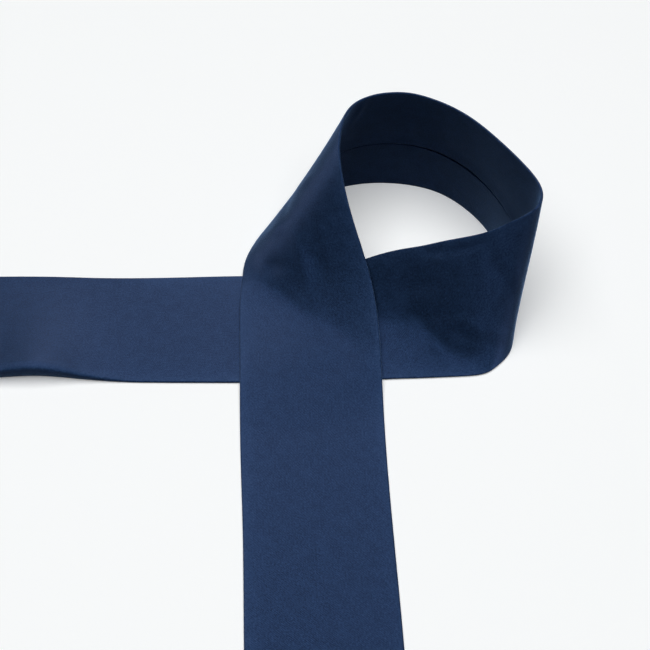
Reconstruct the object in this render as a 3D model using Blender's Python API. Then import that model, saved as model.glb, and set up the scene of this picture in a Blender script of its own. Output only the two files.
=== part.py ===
"""A length of folded bias tape laid in one loop on a table.

The tape is one strip of cloth whose two raw edges are folded in until they nearly meet along the
middle of its back. It comes in from the left, smooth face up, and lies flat. Its far edge then
lifts until the tape stands on its near edge, turns round a bend on the right, runs back along the
rear as a standing wall, turns forward again and lies down over itself. Both ends are cut square.

The tape has two long folded edges. The near one, called low here, stays at the table. The other,
called rim, is the upper edge of the standing part. FOLDS gives both edges at each place where the
tape changes course, and a smooth curve runs through each column.
"""

from collections import namedtuple

import bmesh
import bpy
import numpy as np

MM = 0.001

# The strip and the section that its folding makes, in millimetres. MEETING_PLACE is where the
# raw edges nearly meet, as a share of the width from the low edge.
TAPE_WIDTH = 30.2
CLOTH = 0.4
LAYER_GAP = 0.3
TAPE_THICKNESS = 2 * CLOTH + LAYER_GAP
MEETING_PLACE = 0.46
MEETING_SLIT = 0.6

# The mesh: points across the front, on each flap and round each fold, and sections in each row.
FRONT_POINTS = 10
FLAP_POINTS = 5
FOLD_POINTS = 4
SECTIONS_PER_ROW = 2

# How round the crease is where the strip folds up off the table, against a tent of height one.
CREASE_SOFTNESS = 0.6

NAVY = (0.021, 0.040, 0.095, 1.0)
CLOTH_ROUGHNESS = 0.85

Fold = namedtuple("Fold", "name low_x low_y low_z rim_x rim_y rim_z bow knee sag")

# Both edges of the tape's back, in millimetres. Z is the height over the table: a stretch given a
# height under nothing is pressed flat. Bow is how far the middle of the section stands out
# towards the smooth face. Where the strip folds up off the table, sag is how deep the section
# hangs at the crease, and knee where the crease is, as a share of the way to the rim.
FOLDS = (
    Fold("left_end", -95.0, -16.0, -0.2, -95.0, 13.8, -0.2, 0.0, 0.5, 0.0),
    Fold("left_plain", -80.0, -15.9, 0.5, -80.0, 13.75, -0.1, 0.0, 0.5, 0.0),
    Fold("left_wave", -69.0, -15.8, 1.4, -69.5, 13.75, 0.2, 0.2, 0.5, 0.0),
    Fold("left_crest", -61.0, -15.8, 1.9, -61.0, 13.7, 0.2, 0.3, 0.5, 0.0),
    Fold("left_ebb", -52.0, -15.8, 0.9, -52.0, 13.45, 0.0, 0.1, 0.5, 0.0),
    Fold("left_flat", -45.0, -16.0, -0.1, -45.0, 13.35, -0.2, 0.0, 0.5, 0.0),
    Fold("left_arm", -30.0, -16.2, -0.2, -30.0, 13.65, -0.2, 0.0, 0.5, 0.0),
    Fold("crossing", -14.0, -16.2, -0.2, -16.0, 14.0, -0.1, 0.0, 0.96, 0.0),
    Fold("lift", 4.0, -15.7, 0.0, 1.0, 12.9, 3.2, 0.0, 0.83, 1.2),
    Fold("rise", 16.0, -15.0, 0.0, 12.1, 10.4, 11.2, 0.0, 0.49, 5.0),
    Fold("climb", 26.0, -14.45, 0.0, 20.7, 8.2, 16.2, 0.0, 0.24, 4.2),
    Fold("steepen", 32.9, -13.75, 0.0, 26.5, 6.6, 19.8, 0.0, 0.12, 1.8),
    Fold("bend_start", 36.0, -11.7, 0.0, 33.6, 5.4, 23.3, 0.0, 0.2, 0.6),
    Fold("bend_turn", 38.7, -8.3, 0.0, 38.0, 5.6, 25.9, 0.0, 0.5, 0.0),
    Fold("bend_top", 40.1, -3.0, 0.0, 42.8, 6.7, 28.5, 0.2, 0.5, 0.0),
    Fold("bend_end", 40.8, 4.5, 0.0, 45.0, 10.5, 29.5, 0.4, 0.5, 0.0),
    Fold("right_wall", 40.3, 15.0, 0.0, 42.5, 18.3, 29.5, 0.2, 0.5, 0.0),
    Fold("right_back", 36.7, 26.8, 0.0, 36.5, 27.5, 29.5, 0.0, 0.5, 0.0),
    Fold("back_right", 30.4, 36.6, 0.0, 29.3, 35.8, 29.5, 0.0, 0.5, 0.0),
    Fold("back", 21.6, 42.7, 0.0, 20.8, 41.0, 29.5, 0.0, 0.5, 0.0),
    Fold("back_left", 10.4, 43.8, 0.0, 15.7, 41.9, 29.5, 0.0, 0.5, 0.0),
    Fold("shoulder", 2.2, 41.8, 0.0, 11.6, 41.3, 29.5, 0.0, 0.5, 0.0),
    Fold("shoulder_turn", -5.0, 37.5, 0.0, 7.6, 39.6, 29.1, 0.0, 0.5, 0.0),
    Fold("shoulder_out", -11.2, 31.3, 0.0, 4.9, 36.2, 28.5, 0.0, 0.5, 0.0),
    Fold("shoulder_end", -15.6, 25.0, 0.0, 3.5, 30.8, 27.3, 0.0, 0.3, 0.0),
    Fold("descent", -17.8, 18.6, 0.9, 3.6, 24.0, 24.0, 0.0, 0.12, 0.3),
    Fold("fall", -18.4, 12.0, 1.7, 5.6, 17.0, 17.6, 0.0, 0.15, 1.5),
    Fold("touch", -18.4, 4.0, 1.7, 8.8, 9.6, 10.1, 0.0, 0.38, 3.3),
    Fold("over", -18.2, -5.0, 1.6, 10.8, 1.6, 5.7, 0.0, 0.67, 2.0),
    Fold("over_edge", -17.9, -14.0, 1.6, 11.7, -9.0, 2.6, 0.0, 0.88, 0.5),
    Fold("step_down", -17.7, -21.0, 1.2, 12.0, -19.0, 1.2, 0.0, 0.5, 0.0),
    Fold("down", -17.3, -32.0, -0.1, 12.3, -30.5, -0.1, 0.0, 0.5, 0.0),
    Fold("front_arm", -16.2, -52.8, -0.2, 13.2, -51.2, -0.2, 0.0, 0.5, 0.0),
    Fold("front_low", -15.1, -80.7, -0.2, 14.7, -79.3, -0.2, 0.0, 0.5, 0.0),
    Fold("front_end", -14.5, -95.0, -0.2, 15.3, -93.6, -0.2, 0.0, 0.5, 0.0),
)


def clear_scene():
    """Remove every object, so that the part starts in an empty scene."""
    for old in list(bpy.data.objects):
        bpy.data.objects.remove(old, do_unlink=True)


def smooth_columns(knots, columns, places):
    """Natural cubic spline through each column of a table, read at the given places.

    The second derivative at each row comes from one linear system, and is nothing at both ends.
    """
    steps = np.diff(knots)
    count = len(knots)
    system = np.eye(count)
    pull = np.zeros_like(columns)
    inner = np.arange(1, count - 1)
    system[inner, inner - 1] = steps[:-1]
    system[inner, inner] = 2 * (steps[:-1] + steps[1:])
    system[inner, inner + 1] = steps[1:]
    slopes = np.diff(columns, axis=0) / steps[:, None]
    pull[1:-1] = 6 * np.diff(slopes, axis=0)
    curl = np.linalg.solve(system, pull)
    row = np.clip(np.searchsorted(knots, places, side="right") - 1, 0, count - 2)
    step = steps[row][:, None]
    after = (places - knots[row])[:, None]
    before = step - after
    bent = (curl[row] * before**3 + curl[row + 1] * after**3) / (6 * step)
    start = (columns[row] / step - curl[row] * step / 6) * before
    end = (columns[row + 1] / step - curl[row + 1] * step / 6) * after
    return bent + start + end


def tape_edges():
    """Both long edges at every section, and its bow, knee and sag, as three arrays."""
    table = np.array([fold[1:] for fold in FOLDS])
    low_steps = np.linalg.norm(np.diff(table[:, 0:3], axis=0), axis=1)
    rim_steps = np.linalg.norm(np.diff(table[:, 3:6], axis=0), axis=1)
    knots = np.concatenate([[0.0], np.cumsum((low_steps + rim_steps) / 2)])
    rows = np.arange(len(knots))
    sections = np.linspace(0, rows[-1], rows[-1] * SECTIONS_PER_ROW + 1)
    places = np.interp(sections, rows, knots)
    columns = smooth_columns(knots, table, places)
    return columns[:, 0:3], columns[:, 3:6], columns[:, 6:9]


def section_bend(share, bow, knee, sag):
    """How far the section stands out from its straight line, towards the smooth face.

    The bow is a parabola. The sag is a tent with its top at the knee, the soft least of
    share / knee and (1 - share) / (1 - knee).
    """
    knee = np.clip(knee, 0.04, 0.96)
    before, after = share / knee, (1 - share) / (1 - knee)
    tent = (before + after - np.sqrt((before - after) ** 2 + CREASE_SOFTNESS**2)) / 2
    return 4 * share * (1 - share) * bow - np.maximum(tent, 0.0) * sag


def folded_section(width):
    """The cloth's outer and inner side, as (across, out) points from one raw edge to the other.

    Across runs from the low edge to the rim, and out from the tape's back to its smooth face.
    """
    middle = TAPE_THICKNESS / 2
    meeting = width * MEETING_PLACE
    turn = np.linspace(-np.pi / 2, -3 * np.pi / 2, FOLD_POINTS)
    sides = []
    for radius in (middle, middle - CLOTH):
        low_flap = np.linspace(meeting - MEETING_SLIT / 2, middle, FLAP_POINTS)
        rim_flap = np.linspace(width - middle, meeting + MEETING_SLIT / 2, FLAP_POINTS)
        front = np.linspace(middle, width - middle, FRONT_POINTS)
        low_turn = middle + radius * np.cos(turn)
        rim_turn = width - low_turn[::-1]
        across = np.concatenate([low_flap[:-1], low_turn, front[1:-1], rim_turn, rim_flap[1:]])
        back = np.full(FLAP_POINTS - 1, middle - radius)
        turned = middle + radius * np.sin(turn)
        face = np.full(FRONT_POINTS - 2, middle + radius)
        out = np.concatenate([back, turned, face, turned[::-1], back])
        sides.append(np.stack([across, out], axis=1))
    return sides


def unit(vectors):
    """The same vectors, each of length one."""
    return vectors / np.linalg.norm(vectors, axis=-1, keepdims=True)


def on_table(points):
    """The same points, with those under the table brought up to it."""
    return np.concatenate([points[..., :2], np.maximum(points[..., 2:], 0.0)], axis=-1)


def tape_points():
    """Every point of the tape as an array of section, side, point and coordinate.

    A section is the straight line from the low edge to the rim, bowed a little, with the folded
    cloth standing out from it. The table stops whatever would reach below it.
    """
    low, rim, bend = tape_edges()
    sides = np.array(folded_section(TAPE_WIDTH))
    share = sides[..., 0, None] / TAPE_WIDTH
    out = sides[..., 1, None]
    course = unit(np.gradient(low, axis=0) + np.gradient(rim, axis=0))
    facing = unit(np.cross(course, rim - low))[:, None, None]
    back = low[:, None, None] + share * (rim - low)[:, None, None]
    back = back + section_bend(share, *bend.T[:, :, None, None, None]) * facing
    return on_table(on_table(back) + out * facing)


def tape_mesh(points):
    """A closed mesh of the folded cloth: both sides, both raw edges and both cut ends."""
    sections, _, across, _ = points.shape
    mesh = bmesh.new()
    corners = [
        [[mesh.verts.new(place * MM) for place in side] for side in section] for section in points
    ]
    for here, onward in zip(corners, corners[1:]):
        for place in range(across - 1):
            outer = (here[0][place], here[0][place + 1], onward[0][place + 1], onward[0][place])
            inner = (here[1][place], onward[1][place], onward[1][place + 1], here[1][place + 1])
            mesh.faces.new(outer)
            mesh.faces.new(inner)
        mesh.faces.new((here[0][0], onward[0][0], onward[1][0], here[1][0]))
        mesh.faces.new((here[0][-1], here[1][-1], onward[1][-1], onward[0][-1]))
    for place in range(across - 1):
        for outer, inner in (corners[0], corners[-1]):
            mesh.faces.new((outer[place], outer[place + 1], inner[place + 1], inner[place]))
    bmesh.ops.recalc_face_normals(mesh, faces=mesh.faces)
    return mesh


def cloth_material():
    """Plain matt navy cloth."""
    cloth = bpy.data.materials.new("navy_cloth")
    cloth.use_nodes = True
    shader = cloth.node_tree.nodes["Principled BSDF"]
    shader.inputs["Base Color"].default_value = NAVY
    shader.inputs["Roughness"].default_value = CLOTH_ROUGHNESS
    shader.inputs["Metallic"].default_value = 0.0
    return cloth


def build_tape():
    """The tape, with the middle of its footprint at the scene's origin."""
    points = tape_points()
    corners = points.reshape(-1, 3)
    middle = (corners.min(axis=0) + corners.max(axis=0)) / 2
    points[..., :2] -= middle[:2]
    solid = tape_mesh(points)
    data = bpy.data.meshes.new("tape")
    solid.to_mesh(data)
    solid.free()
    data.materials.append(cloth_material())
    return bpy.data.objects.new("tape", data)


def main():
    clear_scene()
    group = bpy.data.collections.new("bias_tape")
    bpy.context.scene.collection.children.link(group)
    group.objects.link(build_tape())


main()
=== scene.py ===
"""The looks of a length of folded bias tape that lies in one loop on a table.

The tape is a single sheet of cloth. Its two raw edges are folded in until they nearly meet along
the back, and the folded strip runs in from the left, stands up on its near edge round a loop, and
lies down over itself towards the front. Everything is worked out on a grid of two parameters:
how far along the strip a point is, and how far across the unfolded cloth.
"""

from collections import namedtuple

import bpy
import numpy as np
from bpy.props import FloatProperty, FloatVectorProperty, PointerProperty
from mathutils import Euler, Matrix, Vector


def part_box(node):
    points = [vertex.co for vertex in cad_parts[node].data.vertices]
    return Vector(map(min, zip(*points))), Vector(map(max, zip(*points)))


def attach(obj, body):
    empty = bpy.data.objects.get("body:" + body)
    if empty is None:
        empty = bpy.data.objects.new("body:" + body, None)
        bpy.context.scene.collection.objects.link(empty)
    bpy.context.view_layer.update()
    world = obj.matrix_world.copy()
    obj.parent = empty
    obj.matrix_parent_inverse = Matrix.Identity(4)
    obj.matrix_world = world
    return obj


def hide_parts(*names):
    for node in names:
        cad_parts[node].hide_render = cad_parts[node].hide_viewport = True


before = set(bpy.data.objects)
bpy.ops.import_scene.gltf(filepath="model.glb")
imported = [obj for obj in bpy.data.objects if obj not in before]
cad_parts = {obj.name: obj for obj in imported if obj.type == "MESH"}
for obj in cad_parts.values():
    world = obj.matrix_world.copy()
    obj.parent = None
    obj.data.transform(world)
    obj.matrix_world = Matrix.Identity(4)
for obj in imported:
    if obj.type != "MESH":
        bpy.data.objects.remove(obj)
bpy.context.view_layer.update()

bl_info = {
    "name": "Folded Bias Tape",
    "version": (1, 0, 0),
    "blender": (4, 5, 0),
    "location": "View3D > Sidebar > Bias Tape",
    "description": "Builds a navy folded bias tape laid in a loop, with its floor, light and camera",
    "category": "Add Mesh",
}

MM = 0.001

# Where the strip starts and stops on the table, in the millimetres of FOLDS.
LEFT_END_X = -95.0
FRONT_END_Y = -95.0

# The grid: sections along the strip, and points on each flap, round each fold and on the front.
SECTIONS = 580
FLAP_POINTS = 11
TURN_POINTS = 9
FRONT_POINTS = 42

# How strongly the points crowd towards both ends of a turn, and on the front towards the low fold.
# One is even.
TURN_CROWDING = 1.8
FRONT_CROWDING = 1.12

# How far the last rows of points lie from a cut or raw edge, in millimetres, and where the next row
# on a flap lies, as a share of the way to its fold.
EDGE_ROW = 0.12
FLAP_ROW = 0.04

# How round the crease at the knee is, against a tent of height one, and how near to either edge the
# knee may come, as a share of the width.
CREASE_SOFTNESS = 0.22
KNEE_MARGIN = 0.04

# How softly a stretch under the table's height is pressed flat, in millimetres.
TABLE_SOFTNESS = 0.05

# How far the foot of an opened fold stands back under its crest, as a share of the opening, and the
# power by which the opening closes across the front.
UNDERCUT = 0.36
WEDGE_POWER = 1.6

# How far the raw edge nearer the rim stands out of the back, over what breadth it curls, and where
# along the strip the slit gapes, over what length and by how much, all in millimetres.
RAW_EDGE_CURL = 0.22
CURL_BREADTH = 1.3
GAPE_MIDDLE = 181.0
GAPE_LENGTH = 13.0
GAPE = 0.6

# How far the painted highlight, paler colour along each fold where the folds catch light, reaches in
# from the fold, in millimetres, and the power by which it keeps to the top of the cloth.
FOLD_HIGHLIGHT_REACH = 2.2
TOP_HIGHLIGHT_POWER = 4

# How many degrees the yarns are turned from the strip, and how much of the uneven shade is fine
# grain, the rest being broader mottle.
BIAS_ANGLE = 45.0
GRAIN_SHARE = 0.75

Tone = namedtuple("Tone", "shade bright grey")

# The yarn's tones: the shade at which each is reached, how bright it is against the cloth colour,
# and how much plain grey it adds. The last is the painted highlight on the folds.
YARN_TONES = (
    Tone(0.36, 0.55, 0.0),
    Tone(0.64, 1.45, 0.0),
    Tone(0.95, 2.2, 0.012),
)

# The colours that the dye gives to the cloth's shine and to its nap.
SHINE_TINT = (0.19, 0.37, 1.0, 1.0)
NAP_TINT = (0.29, 0.54, 1.0, 1.0)

# The width of the camera's sensor, in millimetres.
SENSOR_WIDTH = 36.0

Fold = namedtuple("Fold", "name low_x low_y low_z rim_x rim_y rim_z bow knee sag puff")

# Both folded edges on the tape's back, in millimetres. Low is the edge at the table and rim the
# upper one of the standing part. A height under nothing is a stretch pressed flat. Bow is how far
# the section stands out between them, sag how deep it is creased, and knee where it is creased, as
# a share of the way from the low edge. Puff is how far the low fold is open.
FOLDS = (
    Fold("left_end", -95.0, -16.3, -0.2, -95.0, 13.8, -0.2, 0.0, 0.5, 0.0, 1.2),
    Fold("left_plain", -80.0, -16.2, 0.0, -80.0, 13.75, -0.1, 0.0, 0.5, 0.0, 2.4),
    Fold("left_wave", -69.0, -16.0, 0.1, -69.5, 13.75, 0.1, 0.0, 0.5, 0.0, 3.1),
    Fold("left_crest", -61.0, -15.8, 0.2, -61.0, 13.7, 0.1, 0.0, 0.5, 0.0, 3.6),
    Fold("left_ebb", -52.0, -15.8, 0.0, -52.0, 13.45, 0.0, 0.0, 0.5, 0.0, 1.7),
    Fold("left_flat", -45.0, -16.0, -0.1, -45.0, 13.35, -0.2, 0.0, 0.5, 0.0, 0.4),
    Fold("left_arm", -30.0, -16.2, -0.2, -30.0, 13.65, -0.2, 0.0, 0.5, 0.0, 0.0),
    Fold("crossing", -14.0, -16.2, -0.2, -16.0, 14.0, -0.1, 0.0, 0.96, 0.0, 0.0),
    Fold("lift", 4.0, -15.7, 0.0, 1.0, 12.9, 3.2, 0.0, 0.83, 1.2, 0.0),
    Fold("rise", 16.0, -15.0, 0.0, 12.1, 10.4, 11.2, 0.0, 0.51, 5.0, 0.0),
    Fold("rise_end", 21.2, -14.75, 0.0, 16.6, 9.3, 14.0, 0.0, 0.46, 5.2, 0.0),
    Fold("climb", 26.0, -14.45, 0.0, 20.7, 8.2, 16.2, 0.0, 0.24, 4.2, 0.0),
    Fold("steepen", 32.9, -13.75, 0.0, 26.5, 6.6, 19.8, 0.0, 0.12, 1.8, 0.0),
    Fold("bend_start", 36.0, -11.7, 0.0, 33.6, 5.4, 23.3, 0.0, 0.2, 0.6, 0.1),
    Fold("bend_turn", 38.7, -8.3, 0.0, 38.0, 5.6, 25.9, 0.0, 0.5, 0.0, 0.1),
    Fold("bend_top", 40.1, -3.0, 0.0, 42.8, 6.7, 28.5, 0.2, 0.5, 0.0, 0.1),
    Fold("bend_end", 40.8, 4.5, 0.0, 45.0, 10.5, 29.5, 0.4, 0.5, 0.0, 0.0),
    Fold("right_wall", 40.3, 15.0, 0.0, 42.5, 18.3, 29.5, 0.2, 0.5, 0.0, 0.0),
    Fold("right_back", 37.4, 27.2, 0.0, 36.5, 27.5, 29.5, 0.0, 0.5, 0.0, 0.0),
    Fold("back_right", 30.9, 36.9, 0.0, 29.3, 35.8, 29.5, 0.0, 0.5, 0.0, 0.0),
    Fold("back", 21.6, 42.7, 0.0, 20.8, 41.0, 29.5, 0.0, 0.5, 0.0, 0.0),
    Fold("back_left", 10.4, 43.8, 0.0, 15.7, 41.9, 29.5, 0.0, 0.5, 0.0, 0.0),
    Fold("shoulder", 2.2, 41.8, 0.0, 11.6, 41.3, 29.5, 0.0, 0.5, 0.0, 0.0),
    Fold("shoulder_turn", -5.0, 37.5, 0.0, 7.6, 39.6, 29.1, -0.3, 0.5, 0.0, 0.0),
    Fold("shoulder_out", -11.2, 31.3, 0.0, 4.9, 36.2, 28.5, -0.4, 0.5, 0.0, 0.0),
    Fold("shoulder_end", -15.1, 25.0, 0.0, 3.5, 30.8, 27.3, -0.5, 0.3, 0.0, 0.0),
    Fold("descent", -17.4, 18.6, 0.3, 3.6, 24.0, 24.0, 0.0, 0.12, 0.3, 0.0),
    Fold("fall", -18.0, 12.0, 0.9, 5.6, 17.0, 17.6, 0.0, 0.12, 1.3, 0.0),
    Fold("touch", -18.4, 4.0, 0.9, 8.8, 9.6, 10.1, 0.0, 0.34, 3.0, 0.0),
    Fold("over", -18.2, -5.0, 0.8, 10.8, 1.6, 5.5, 0.0, 0.61, 2.42, 0.0),
    Fold("over_edge", -17.9, -14.0, 0.8, 11.7, -9.0, 2.6, 0.0, 0.8, 0.9, 0.0),
    Fold("step_down", -17.7, -21.0, 0.5, 12.0, -19.0, 0.6, 0.0, 0.5, 0.0, 0.0),
    Fold("down", -17.3, -32.0, -0.1, 12.3, -30.5, -0.1, 0.0, 0.5, 0.0, 0.0),
    Fold("front_arm", -16.2, -52.8, -0.2, 13.2, -51.2, -0.2, 0.0, 0.5, 0.0, 0.1),
    Fold("front_low", -15.1, -80.7, -0.2, 14.7, -79.3, -0.2, 0.0, 0.5, 0.0, 0.1),
    Fold("front_end", -14.5, -95.0, -0.2, 15.3, -93.6, -0.2, 0.0, 0.5, 0.0, 0.1),
)

Crease = namedtuple("Crease", "name along across length breadth turn height")

# Soft creases and dents, in millimetres on the folded strip: the middle of each, measured along the
# strip and across it from the low edge, half its length and half its breadth, how many degrees it
# is turned from the strip's own direction, and how far it stands towards the smooth face.
CREASES = (
    Crease("wall_dent", 123.0, 14.2, 4.2, 1.5, -14.0, -0.34),
    Crease("wall_dent_low", 125.6, 9.6, 3.2, 1.6, -40.0, -0.28),
    Crease("wall_ridge", 128.5, 10.6, 6.5, 1.8, -36.0, 0.28),
    Crease("wall_swell", 115.0, 18.0, 5.0, 2.4, -20.0, 0.25),
    Crease("wall_hollow", 118.5, 21.6, 4.0, 2.2, -8.0, -0.25),
    Crease("rim_pucker", 124.2, 28.4, 1.5, 0.8, 20.0, -0.5),
    Crease("rim_pucker_near", 121.6, 28.9, 1.1, 0.7, -25.0, -0.4),
    Crease("rim_groove", 130.0, 27.9, 4.6, 0.8, 2.0, -0.65),
    Crease("bend_ripple", 141.0, 18.5, 1.8, 5.0, 8.0, 0.3),
    Crease("bend_hollow", 137.0, 20.5, 2.2, 5.0, 12.0, -0.3),
    Crease("shoulder_crease", 205.6, 26.7, 2.6, 0.7, -52.0, -0.28),
    Crease("flank_kink", 226.0, 18.5, 1.6, 4.0, 12.0, 0.28),
    Crease("flank_kink_low", 238.0, 10.0, 1.8, 3.4, 12.0, 0.36),
    Crease("descent_dent", 248.2, 7.6, 2.6, 2.8, 30.0, -0.55),
    Crease("descent_ridge", 246.0, 15.4, 7.0, 1.5, 4.0, 0.35),
    Crease("descent_hollow", 246.5, 19.6, 5.0, 2.6, 0.0, -0.35),
    Crease("descent_flank", 233.0, 11.5, 6.0, 2.2, 10.0, -0.25),
    Crease("fall_ripple", 256.0, 15.0, 5.0, 2.2, 38.0, 0.2),
    Crease("back_ripple", 187.0, 22.0, 2.6, 6.0, 14.0, 0.25),
    Crease("back_ripple_left", 196.0, 8.0, 2.4, 5.0, -10.0, -0.2),
)


def place_on_frame():
    """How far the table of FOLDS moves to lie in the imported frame, in metres."""
    low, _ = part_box("tape")
    return Vector((low.x - LEFT_END_X * MM, low.y - FRONT_END_Y * MM, 0.0))


class TapeSettings(bpy.types.PropertyGroup):
    """Sizes and finish of the cloth strip."""

    finished_width: FloatProperty(
        name="Finished width",
        description="Width of the strip after both edges are folded in",
        default=0.0302,
        unit="LENGTH",
    )
    meeting_place: FloatProperty(
        name="Meeting place",
        description="Where the raw edges nearly meet on the back, as a share of the width",
        default=0.46,
        subtype="FACTOR",
    )
    meeting_slit: FloatProperty(
        name="Meeting slit",
        description="Width of the slit between the raw edges",
        default=0.0004,
        unit="LENGTH",
    )
    cloth: FloatProperty(
        name="Cloth thickness",
        description="Thickness of one layer of the cloth",
        default=0.00025,
        unit="LENGTH",
    )
    layer_gap: FloatProperty(
        name="Layer gap",
        description="Air between the front and the folded-in flaps",
        default=0.00008,
        unit="LENGTH",
    )
    yarn_pitch: FloatProperty(
        name="Yarn pitch",
        description="Distance from one yarn to the next",
        default=0.00028,
        unit="LENGTH",
    )
    # Painted highlight: how much paler the folds are painted, where they catch the light.
    painted_fold_highlight: FloatProperty(
        name="Painted fold highlight",
        description="How much paler the folds are painted, as a highlight where they catch the light",
        default=0.35,
        subtype="FACTOR",
    )
    fuzz: FloatProperty(
        name="Fuzz",
        description="How much light the fine nap catches where the cloth turns away",
        default=0.5,
        subtype="FACTOR",
    )
    colour: FloatVectorProperty(
        name="Cloth colour",
        description="Colour of the yarn",
        default=(0.0088, 0.0212, 0.0515),
        subtype="COLOR",
    )


class StageSettings(bpy.types.PropertyGroup):
    """The floor, the light and the camera."""

    floor_colour: FloatVectorProperty(
        name="Floor colour",
        description="Colour of the plain floor",
        default=(0.86, 0.875, 0.88),
        subtype="COLOR",
    )
    floor_glow: FloatProperty(
        name="Floor glow",
        description="Light that the pale floor gives off itself, as a lit table does",
        default=0.22,
    )
    lamp_scale: FloatProperty(
        name="Lamp scale",
        description="Makes all the lamps stronger or weaker together",
        default=1.0,
    )
    camera_height: FloatProperty(
        name="Camera height",
        description="Height of the camera over the table",
        default=0.2919,
        unit="LENGTH",
    )
    camera_distance: FloatProperty(
        name="Camera distance",
        description="How far in front of the picture's centre the camera stands",
        default=0.2537,
        unit="LENGTH",
    )
    camera_pitch: FloatProperty(
        name="Camera pitch",
        description="How far the camera looks down",
        default=np.radians(49.0),
        subtype="ANGLE",
    )
    lens: FloatProperty(
        name="Lens",
        description="Focal length on a 36 mm sensor, in millimetres",
        default=98.58,
    )


def smooth_columns(knots, columns, places):
    """Natural cubic spline through each column of a table, read at the given places.

    Between two rows each value is a cubic. The second derivatives at the rows come from one
    linear system that makes slope and curvature run on, and are nothing at both ends.
    """
    steps = np.diff(knots)
    count = len(knots)
    system = np.eye(count)
    pull = np.zeros_like(columns)
    inner = np.arange(1, count - 1)
    system[inner, inner - 1] = steps[:-1]
    system[inner, inner] = 2 * (steps[:-1] + steps[1:])
    system[inner, inner + 1] = steps[1:]
    slopes = np.diff(columns, axis=0) / steps[:, None]
    pull[1:-1] = 6 * np.diff(slopes, axis=0)
    curl = np.linalg.solve(system, pull)
    row = np.clip(np.searchsorted(knots, places, side="right") - 1, 0, count - 2)
    step = steps[row][:, None]
    after = (places - knots[row])[:, None]
    before = step - after
    bent = (curl[row] * before**3 + curl[row + 1] * after**3) / (6 * step)
    start = (columns[row] / step - curl[row] * step / 6) * before
    end = (columns[row + 1] / step - curl[row + 1] * step / 6) * after
    return bent + start + end


def strip_course():
    """Low edge, rim, and bow, knee, sag and puff at every section, in millimetres.

    Each column of FOLDS is a smooth curve over the mean run of both edges, read at even steps.
    """
    table = np.array([fold[1:] for fold in FOLDS])
    low_steps = np.linalg.norm(np.diff(table[:, 0:3], axis=0), axis=1)
    rim_steps = np.linalg.norm(np.diff(table[:, 3:6], axis=0), axis=1)
    knots = np.concatenate([[0.0], np.cumsum((low_steps + rim_steps) / 2)])
    places = np.linspace(0.0, knots[-1], SECTIONS - 2)
    places = np.insert(places, [1, len(places) - 1], [EDGE_ROW, knots[-1] - EDGE_ROW])
    columns = smooth_columns(knots, table, places)
    return columns[:, 0:3], columns[:, 3:6], columns[:, 6:10]


def run_length(edge):
    """Distance along an edge from its first point, in the edge's own units."""
    steps = np.linalg.norm(np.diff(edge, axis=0), axis=1)
    return np.concatenate([[0.0], np.cumsum(steps)])


def unit(vectors):
    """The same vectors, each of length one."""
    return vectors / np.linalg.norm(vectors, axis=-1, keepdims=True)


def press_flat(heights, softness):
    """Heights that ease to nothing: half of (h + the root of h squared plus softness squared)."""
    return (heights + np.sqrt(heights**2 + softness**2)) / 2


def cloth_section(settings, opened, slit):
    """The middle of the cloth as (share across, out) at every section and point, in millimetres.

    The cloth runs from one raw edge along the back to the low fold, round its turn, over the front
    to the rim fold, round again, and back to the other raw edge. Out is measured from the tape's
    back. Round the low fold a point lies radius * (1 - cos(turn)**square) in from the edge and
    radius * (1 + sin(turn)**square) out, with square = 1 / (1 + opened), so a shut fold is a half
    circle. An opened one is a wedge, opened * (1 - share of the front)**WEDGE_POWER, and its foot
    stands back. The raw edge nearer the rim curls out of the back by a bell curve.
    """
    width = settings.finished_width / MM
    cloth = settings.cloth / MM
    gap = settings.layer_gap / MM
    meeting = width * settings.meeting_place
    even = np.linspace(-1.0, 1.0, TURN_POINTS)
    turn = np.pi / 2 * np.sign(even) * (1 - (1 - np.abs(even)) ** TURN_CROWDING)
    low_radius = (cloth + gap + opened) / 2
    rim_radius = (cloth + gap) / 2
    square = 1 / (1 + opened)
    rise = 1 + np.sign(turn) * np.abs(np.sin(turn)) ** square
    low_turn = low_radius * (1 - np.cos(turn) ** square) + UNDERCUT * opened * (1 - rise / 2)
    rim_turn = np.tile(width - rim_radius * (1 - np.cos(turn[::-1])), (len(opened), 1))
    raw = np.concatenate([[0.0, EDGE_ROW / meeting], np.linspace(FLAP_ROW, 1.0, FLAP_POINTS)[:-1]])
    low_flap = (meeting - slit / 2) * (1 - raw) + low_turn[:, :1] * raw
    rim_flap = (meeting + slit / 2) * (1 - raw) + rim_turn[:, -1:] * raw
    front_share = np.linspace(0.0, 1.0, FRONT_POINTS)[1:-1] ** FRONT_CROWDING
    front = low_radius + (width - low_radius - rim_radius) * front_share
    across = np.concatenate([low_flap, low_turn, front, rim_turn, rim_flap[:, ::-1]], axis=1)
    back_out = cloth / 2
    front_out = cloth / 2 + cloth + gap + opened * (1 - front_share) ** WEDGE_POWER
    low_turn_out = back_out + low_radius * rise
    rim_turn_out = np.tile(back_out + rim_radius * (1 + np.sin(turn[::-1])), (len(opened), 1))
    low_out = np.full_like(low_flap, back_out)
    curl = RAW_EDGE_CURL * np.exp(-((raw * width / 2 / CURL_BREADTH) ** 2))
    rim_out = low_out - curl[::-1]
    out = np.concatenate([low_out, low_turn_out, front_out, rim_turn_out, rim_out], axis=1)
    return across / width, out


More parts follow.
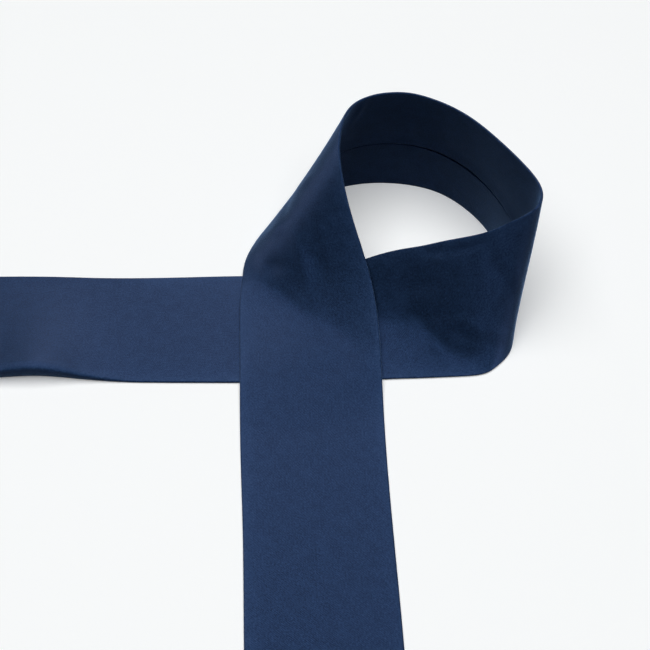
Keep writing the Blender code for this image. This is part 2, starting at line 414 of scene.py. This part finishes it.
def tape_grid(settings):
    """Points of the cloth's middle and their place on the flat cloth, in metres, and their painted fold
    highlight.

    A point is low + share * (rim - low), plus the section's bend and the cloth's own distance out,
    both along the normal of that ruled surface. The bend is 4 * share * (1 - share) * bow, less sag
    times a tent that rises from the low edge to one at the knee and falls to the rim, plus the
    creases. The tent is a soft least of share / knee and (1 - share) / (1 - knee). The flat place is
    the run along the strip and the run round the section. The painted highlight, paler colour where
    the folds catch light, fades from each fold as exp(-distance / reach), on the top of the cloth.
    """
    low, rim, section = strip_course()
    bow, knee, sag, puff = section.T[:, :, None]
    middle_run = (run_length(low) + run_length(rim))[:, None] / 2
    gape = GAPE * np.exp(-(((middle_run - GAPE_MIDDLE) / GAPE_LENGTH) ** 2))
    slit = settings.meeting_slit / MM + gape
    share, out = cloth_section(settings, np.maximum(puff, 0.0), slit)
    back = low[:, None] + share[..., None] * (rim - low)[:, None]
    along = np.gradient(low, axis=0)[:, None] * (1 - share[..., None])
    along = along + np.gradient(rim, axis=0)[:, None] * share[..., None]
    facing = unit(np.cross(along, (rim - low)[:, None]))
    knee = np.clip(knee, KNEE_MARGIN, 1 - KNEE_MARGIN)
    before, after = share / knee, (1 - share) / (1 - knee)
    tent = (before + after - np.sqrt((before - after) ** 2 + CREASE_SOFTNESS**2)) / 2
    length = run_length(low)[:, None] * (1 - share) + run_length(rim)[:, None] * share
    width = settings.finished_width / MM
    stand = 4 * share * (1 - share) * bow - np.maximum(tent, 0.0) * sag
    stand = stand + creases(length, share * width)
    back = back + stand[..., None] * facing
    back[..., 2] = press_flat(back[..., 2], TABLE_SOFTNESS)
    points = back + out[..., None] * facing
    points[..., 2] = np.maximum(points[..., 2], settings.cloth / MM / 2)
    steps = np.linalg.norm(np.diff(points, axis=1), axis=2)
    spread = np.insert(np.cumsum(steps, axis=1), 0, 0.0, axis=1)
    flat = np.stack([length, spread - spread[:, -1:]], axis=-1)
    inward = np.minimum(share, 1 - share) * width
    # Painted highlight: paler colour near each fold, on the top of the cloth, where the folds catch
    # light.
    crest = np.clip(out / out.max(axis=1, keepdims=True), 0.0, 1.0)
    painted_highlight_mask = np.exp(-inward / FOLD_HIGHLIGHT_REACH) * crest**TOP_HIGHLIGHT_POWER
    return points * MM + np.array(place_on_frame()), flat * MM, painted_highlight_mask


def creases(along, across):
    """How far the creases stand out at places on the folded strip, all in millimetres.

    Each is height * exp(-(p / length)**2 - (q / breadth)**2), where p and q are the distances from
    its middle, along and across the crease.
    """
    total = np.zeros_like(along)
    for crease in CREASES:
        angle = np.radians(crease.turn)
        ahead, aside = along - crease.along, across - crease.across
        p = ahead * np.cos(angle) + aside * np.sin(angle)
        q = aside * np.cos(angle) - ahead * np.sin(angle)
        total += crease.height * np.exp(-((p / crease.length) ** 2) - (q / crease.breadth) ** 2)
    return total


def grid_object(name, points, flat):
    """A smooth quad mesh through a grid of points, with the flat cloth's place as its UV map."""
    rows, columns, _ = points.shape
    index = np.arange(rows * columns).reshape(rows, columns)
    quads = np.stack([index[:-1, :-1], index[1:, :-1], index[1:, 1:], index[:-1, 1:]], axis=-1)
    quads = quads.reshape(-1, 4)
    data = bpy.data.meshes.new(name)
    data.vertices.add(points.size // 3)
    data.vertices.foreach_set("co", points.reshape(-1).astype(np.float32))
    data.loops.add(quads.size)
    data.loops.foreach_set("vertex_index", quads.reshape(-1).astype(np.int32))
    data.polygons.add(len(quads))
    data.polygons.foreach_set("loop_start", np.arange(0, quads.size, 4, dtype=np.int32))
    data.update(calc_edges=True)
    data.polygons.foreach_set("use_smooth", np.ones(len(quads), dtype=bool))
    layer = data.uv_layers.new(name="flat_cloth")
    layer.data.foreach_set("uv", flat.reshape(-1, 2)[quads.reshape(-1)].reshape(-1).astype(np.float32))
    piece = bpy.data.objects.new(name, data)
    bpy.context.scene.collection.objects.link(piece)
    return piece


def add_node(tree, kind, **values):
    """A node with some of its inputs set by name, and its properties by attribute."""
    node = tree.nodes.new(kind)
    for key, value in values.items():
        if key in node.inputs:
            node.inputs[key].default_value = value
        else:
            setattr(node, key, value)
    return node


def maths(tree, operation, first, second=None):
    """A Math node of two values, each a number or a socket."""
    node = tree.nodes.new("ShaderNodeMath")
    node.operation = operation
    for socket, value in zip(node.inputs, (first, second)):
        if isinstance(value, bpy.types.NodeSocket):
            tree.links.new(value, socket)
        elif value is not None:
            socket.default_value = value
    return node.outputs[0]


def bias_weave_group():
    """Plain weave turned by BIAS_ANGLE: the height of the yarns.

    Across each yarn the height is a half wave. Where warp and weft cross, one lies over the other
    in turn, which a product of two sines chooses.
    """
    group = bpy.data.node_groups.new("bias_weave", "ShaderNodeTree")
    group.interface.new_socket("Place", in_out="INPUT", socket_type="NodeSocketVector")
    group.interface.new_socket("Pitch", in_out="INPUT", socket_type="NodeSocketFloat")
    group.interface.new_socket("Height", in_out="OUTPUT", socket_type="NodeSocketFloat")
    start = group.nodes.new("NodeGroupInput")
    end = group.nodes.new("NodeGroupOutput")
    turn = add_node(group, "ShaderNodeVectorRotate", rotation_type="Z_AXIS", Angle=np.radians(BIAS_ANGLE))
    group.links.new(start.outputs["Place"], turn.inputs["Vector"])
    split = group.nodes.new("ShaderNodeSeparateXYZ")
    group.links.new(turn.outputs["Vector"], split.inputs[0])
    warp = maths(group, "DIVIDE", split.outputs["X"], start.outputs["Pitch"])
    weft = maths(group, "DIVIDE", split.outputs["Y"], start.outputs["Pitch"])
    warp_wave = maths(group, "SINE", maths(group, "MULTIPLY", warp, np.pi))
    weft_wave = maths(group, "SINE", maths(group, "MULTIPLY", weft, np.pi))
    over = maths(group, "MULTIPLY", warp_wave, weft_wave)
    chosen = maths(group, "MULTIPLY", maths(group, "ADD", over, 1.0), 0.5)
    height = group.nodes.new("ShaderNodeMix")
    group.links.new(chosen, height.inputs[0])
    group.links.new(maths(group, "ABSOLUTE", warp_wave), height.inputs[2])
    group.links.new(maths(group, "ABSOLUTE", weft_wave), height.inputs[3])
    group.links.new(height.outputs[0], end.inputs["Height"])
    return group


def ramp(tree, source, stops):
    """A Color Ramp fed by source. Stops are (position, colour)."""
    node = tree.nodes.new("ShaderNodeValToRGB")
    band = node.color_ramp
    while len(band.elements) < len(stops):
        band.elements.new(0.5)
    for element, (position, colour) in zip(band.elements, stops):
        element.position = position
        element.color = (*colour, 1.0)
    tree.links.new(source, node.inputs[0])
    return node.outputs[0]


def tape_material(settings):
    """Navy cloth: bias weave, fine grain, folds painted paler as a highlight, a soft shine and a little
    nap.
    """
    material = bpy.data.materials.new("navy_bias_cloth")
    material.use_nodes = True
    tree = material.node_tree
    shader = tree.nodes["Principled BSDF"]
    uv = add_node(tree, "ShaderNodeUVMap", uv_map="flat_cloth")
    weave = tree.nodes.new("ShaderNodeGroup")
    weave.node_tree = bias_weave_group()
    weave.inputs["Pitch"].default_value = settings.yarn_pitch
    tree.links.new(uv.outputs[0], weave.inputs["Place"])
    grain = add_node(tree, "ShaderNodeTexNoise", Scale=2600.0, Detail=1.0, Roughness=0.6)
    tree.links.new(uv.outputs[0], grain.inputs["Vector"])
    mottle = add_node(tree, "ShaderNodeTexNoise", Scale=420.0, Detail=2.0)
    tree.links.new(uv.outputs[0], mottle.inputs["Vector"])
    fine = maths(tree, "MULTIPLY", grain.outputs["Fac"], GRAIN_SHARE)
    broad = maths(tree, "MULTIPLY", mottle.outputs["Fac"], 1 - GRAIN_SHARE)
    shade = maths(tree, "ADD", fine, broad)
    # Painted highlight: the folds are pushed paler, up the yarn tones, where they catch the light.
    painted_highlight_mask = add_node(tree, "ShaderNodeAttribute", attribute_name="painted_highlight_mask")
    ribs = add_node(tree, "ShaderNodeTexNoise", Scale=1500.0, Detail=2.0)
    tree.links.new(uv.outputs[0], ribs.inputs["Vector"])
    painted_highlight = maths(tree, "MULTIPLY", painted_highlight_mask.outputs["Fac"], ribs.outputs["Fac"])
    shade = maths(tree, "ADD", shade, maths(tree, "MULTIPLY", painted_highlight, settings.painted_fold_highlight))
    base = np.array(settings.colour)
    stops = [(tone.shade, tuple(base * tone.bright + tone.grey)) for tone in YARN_TONES]
    tree.links.new(ramp(tree, shade, stops), shader.inputs["Base Color"])
    bump = add_node(tree, "ShaderNodeBump", Strength=0.35, Distance=0.00008)
    tree.links.new(weave.outputs["Height"], bump.inputs["Height"])
    tree.links.new(bump.outputs[0], shader.inputs["Normal"])
    shader.inputs["Roughness"].default_value = 0.45
    shader.inputs["Specular IOR Level"].default_value = 1.0
    shader.inputs["Specular Tint"].default_value = SHINE_TINT
    shader.inputs["Sheen Weight"].default_value = settings.fuzz
    shader.inputs["Sheen Roughness"].default_value = 0.32
    shader.inputs["Sheen Tint"].default_value = NAP_TINT
    return material


class BIASTAPE_OT_tape(bpy.types.Operator):
    """Build the folded strip of cloth."""

    bl_idname = "bias_tape.tape"
    bl_label = "Folded Tape"

    def execute(self, context):
        settings = context.scene.bias_tape
        points, flat, painted_highlight_mask = tape_grid(settings)
        piece = grid_object("bias_tape", points, flat)
        # The painted fold highlight goes onto the mesh as a point attribute.
        painted_highlight = piece.data.attributes.new("painted_highlight_mask", "FLOAT", "POINT")
        painted_highlight.data.foreach_set("value", painted_highlight_mask.reshape(-1).astype(np.float32))
        wall = piece.modifiers.new("cloth", "SOLIDIFY")
        wall.thickness = settings.cloth
        wall.offset = 0.0
        piece.data.materials.append(tape_material(settings))
        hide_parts("tape")
        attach(piece, "root")
        return {"FINISHED"}


class BIASTAPE_OT_stage(bpy.types.Operator):
    """Set up the floor, the soft light and the camera."""

    bl_idname = "bias_tape.stage"
    bl_label = "Floor, Light and Camera"

    def execute(self, context):
        settings = context.scene.bias_tape_stage
        make_floor(settings)
        make_lights(settings)
        make_camera(settings)
        return {"FINISHED"}


def make_floor(settings):
    """A wide plain sheet of pale floor, its top at the table's height."""
    reach = 3.0
    side = np.linspace(-reach, reach, 3)
    across, along = np.meshgrid(side, side, indexing="ij")
    points = np.stack([across, along, np.zeros_like(across)], axis=-1)
    floor = grid_object("floor", points, np.stack([across, along], axis=-1))
    material = bpy.data.materials.new("plain_floor")
    material.use_nodes = True
    shader = material.node_tree.nodes["Principled BSDF"]
    shader.inputs["Base Color"].default_value = (*settings.floor_colour, 1.0)
    shader.inputs["Roughness"].default_value = 0.9
    shader.inputs["Specular IOR Level"].default_value = 0.0
    shader.inputs["Emission Color"].default_value = (*settings.floor_colour, 1.0)
    shader.inputs["Emission Strength"].default_value = settings.floor_glow
    floor.data.materials.append(material)
    floor.visible_glossy = False


Lamp = namedtuple("Lamp", "name x y z width height power matt glossy")

# The soft lamps, in metres and watts: where each stands, aimed at the middle of the floor. The one
# overhead lights the floor and the yarn's own colour, and the others show only in the cloth's shine.
LAMPS = (
    Lamp("overhead_softbox", 0.0, 0.0, 1.0, 1.1, 1.1, 11.9, True, False),
    Lamp("back_softbox", 0.0, 0.78, 0.70, 0.55, 1.15, 3.2, False, True),
    Lamp("left_softbox", -0.90, 0.45, 0.30, 0.40, 0.35, 1.5, False, True),
    Lamp("front_softbox", 0.0, -0.74, 0.74, 0.55, 0.40, 0.9, False, True),
    Lamp("right_softbox", 0.94, -0.15, 0.24, 0.40, 0.35, 1.9, False, True),
)


def make_lights(settings):
    """The soft lamps, and a room that is dark beyond them."""
    for spec in LAMPS:
        lamp = bpy.data.lights.new(spec.name, "AREA")
        lamp.shape = "RECTANGLE"
        lamp.size = spec.width
        lamp.size_y = spec.height
        lamp.energy = spec.power * settings.lamp_scale
        holder = bpy.data.objects.new(spec.name, lamp)
        holder.location = (spec.x, spec.y, spec.z)
        aim = Vector((0.0, 0.0, 0.0)) - holder.location
        holder.rotation_euler = aim.to_track_quat("-Z", "Y").to_euler()
        holder.visible_diffuse = spec.matt
        holder.visible_glossy = spec.glossy
        bpy.context.scene.collection.objects.link(holder)
    world = bpy.data.worlds.new("dark_room")
    world.use_nodes = True
    world.node_tree.nodes["Background"].inputs["Strength"].default_value = 0.0
    bpy.context.scene.world = world
    bpy.context.scene.view_settings.view_transform = "Standard"


def make_camera(settings):
    """The camera that stands in front of the loop and looks down on it."""
    data = bpy.data.cameras.new("camera")
    data.sensor_width = SENSOR_WIDTH
    data.lens = settings.lens
    camera = bpy.data.objects.new("camera", data)
    foot = place_on_frame()
    camera.location = foot + Vector((0.0, -settings.camera_distance, settings.camera_height))
    camera.rotation_euler = Euler((np.pi / 2 - settings.camera_pitch, 0.0, 0.0))
    bpy.context.scene.collection.objects.link(camera)
    bpy.context.scene.camera = camera


class BIASTAPE_PT_panel(bpy.types.Panel):
    """Lists the pieces and their settings."""

    bl_idname = "BIASTAPE_PT_panel"
    bl_label = "Bias Tape"
    bl_space_type = "VIEW_3D"
    bl_region_type = "UI"
    bl_category = "Bias Tape"

    def draw(self, context):
        for operator, settings in (
            (BIASTAPE_OT_tape, context.scene.bias_tape),
            (BIASTAPE_OT_stage, context.scene.bias_tape_stage),
        ):
            box = self.layout.box()
            for name in settings.__annotations__:
                box.prop(settings, name)
            box.operator(operator.bl_idname)


CLASSES = (TapeSettings, StageSettings, BIASTAPE_OT_tape, BIASTAPE_OT_stage, BIASTAPE_PT_panel)


def register():
    """Register the classes and hang their settings on the scene."""
    for cls in CLASSES:
        bpy.utils.register_class(cls)
    bpy.types.Scene.bias_tape = PointerProperty(type=TapeSettings)
    bpy.types.Scene.bias_tape_stage = PointerProperty(type=StageSettings)


def unregister():
    """Take the settings and classes away again."""
    del bpy.types.Scene.bias_tape_stage
    del bpy.types.Scene.bias_tape
    for cls in reversed(CLASSES):
        bpy.utils.unregister_class(cls)


def main():
    """Build everything in order."""
    register()
    bpy.ops.bias_tape.stage()
    bpy.ops.bias_tape.tape()


if __name__ == "__main__":
    main()
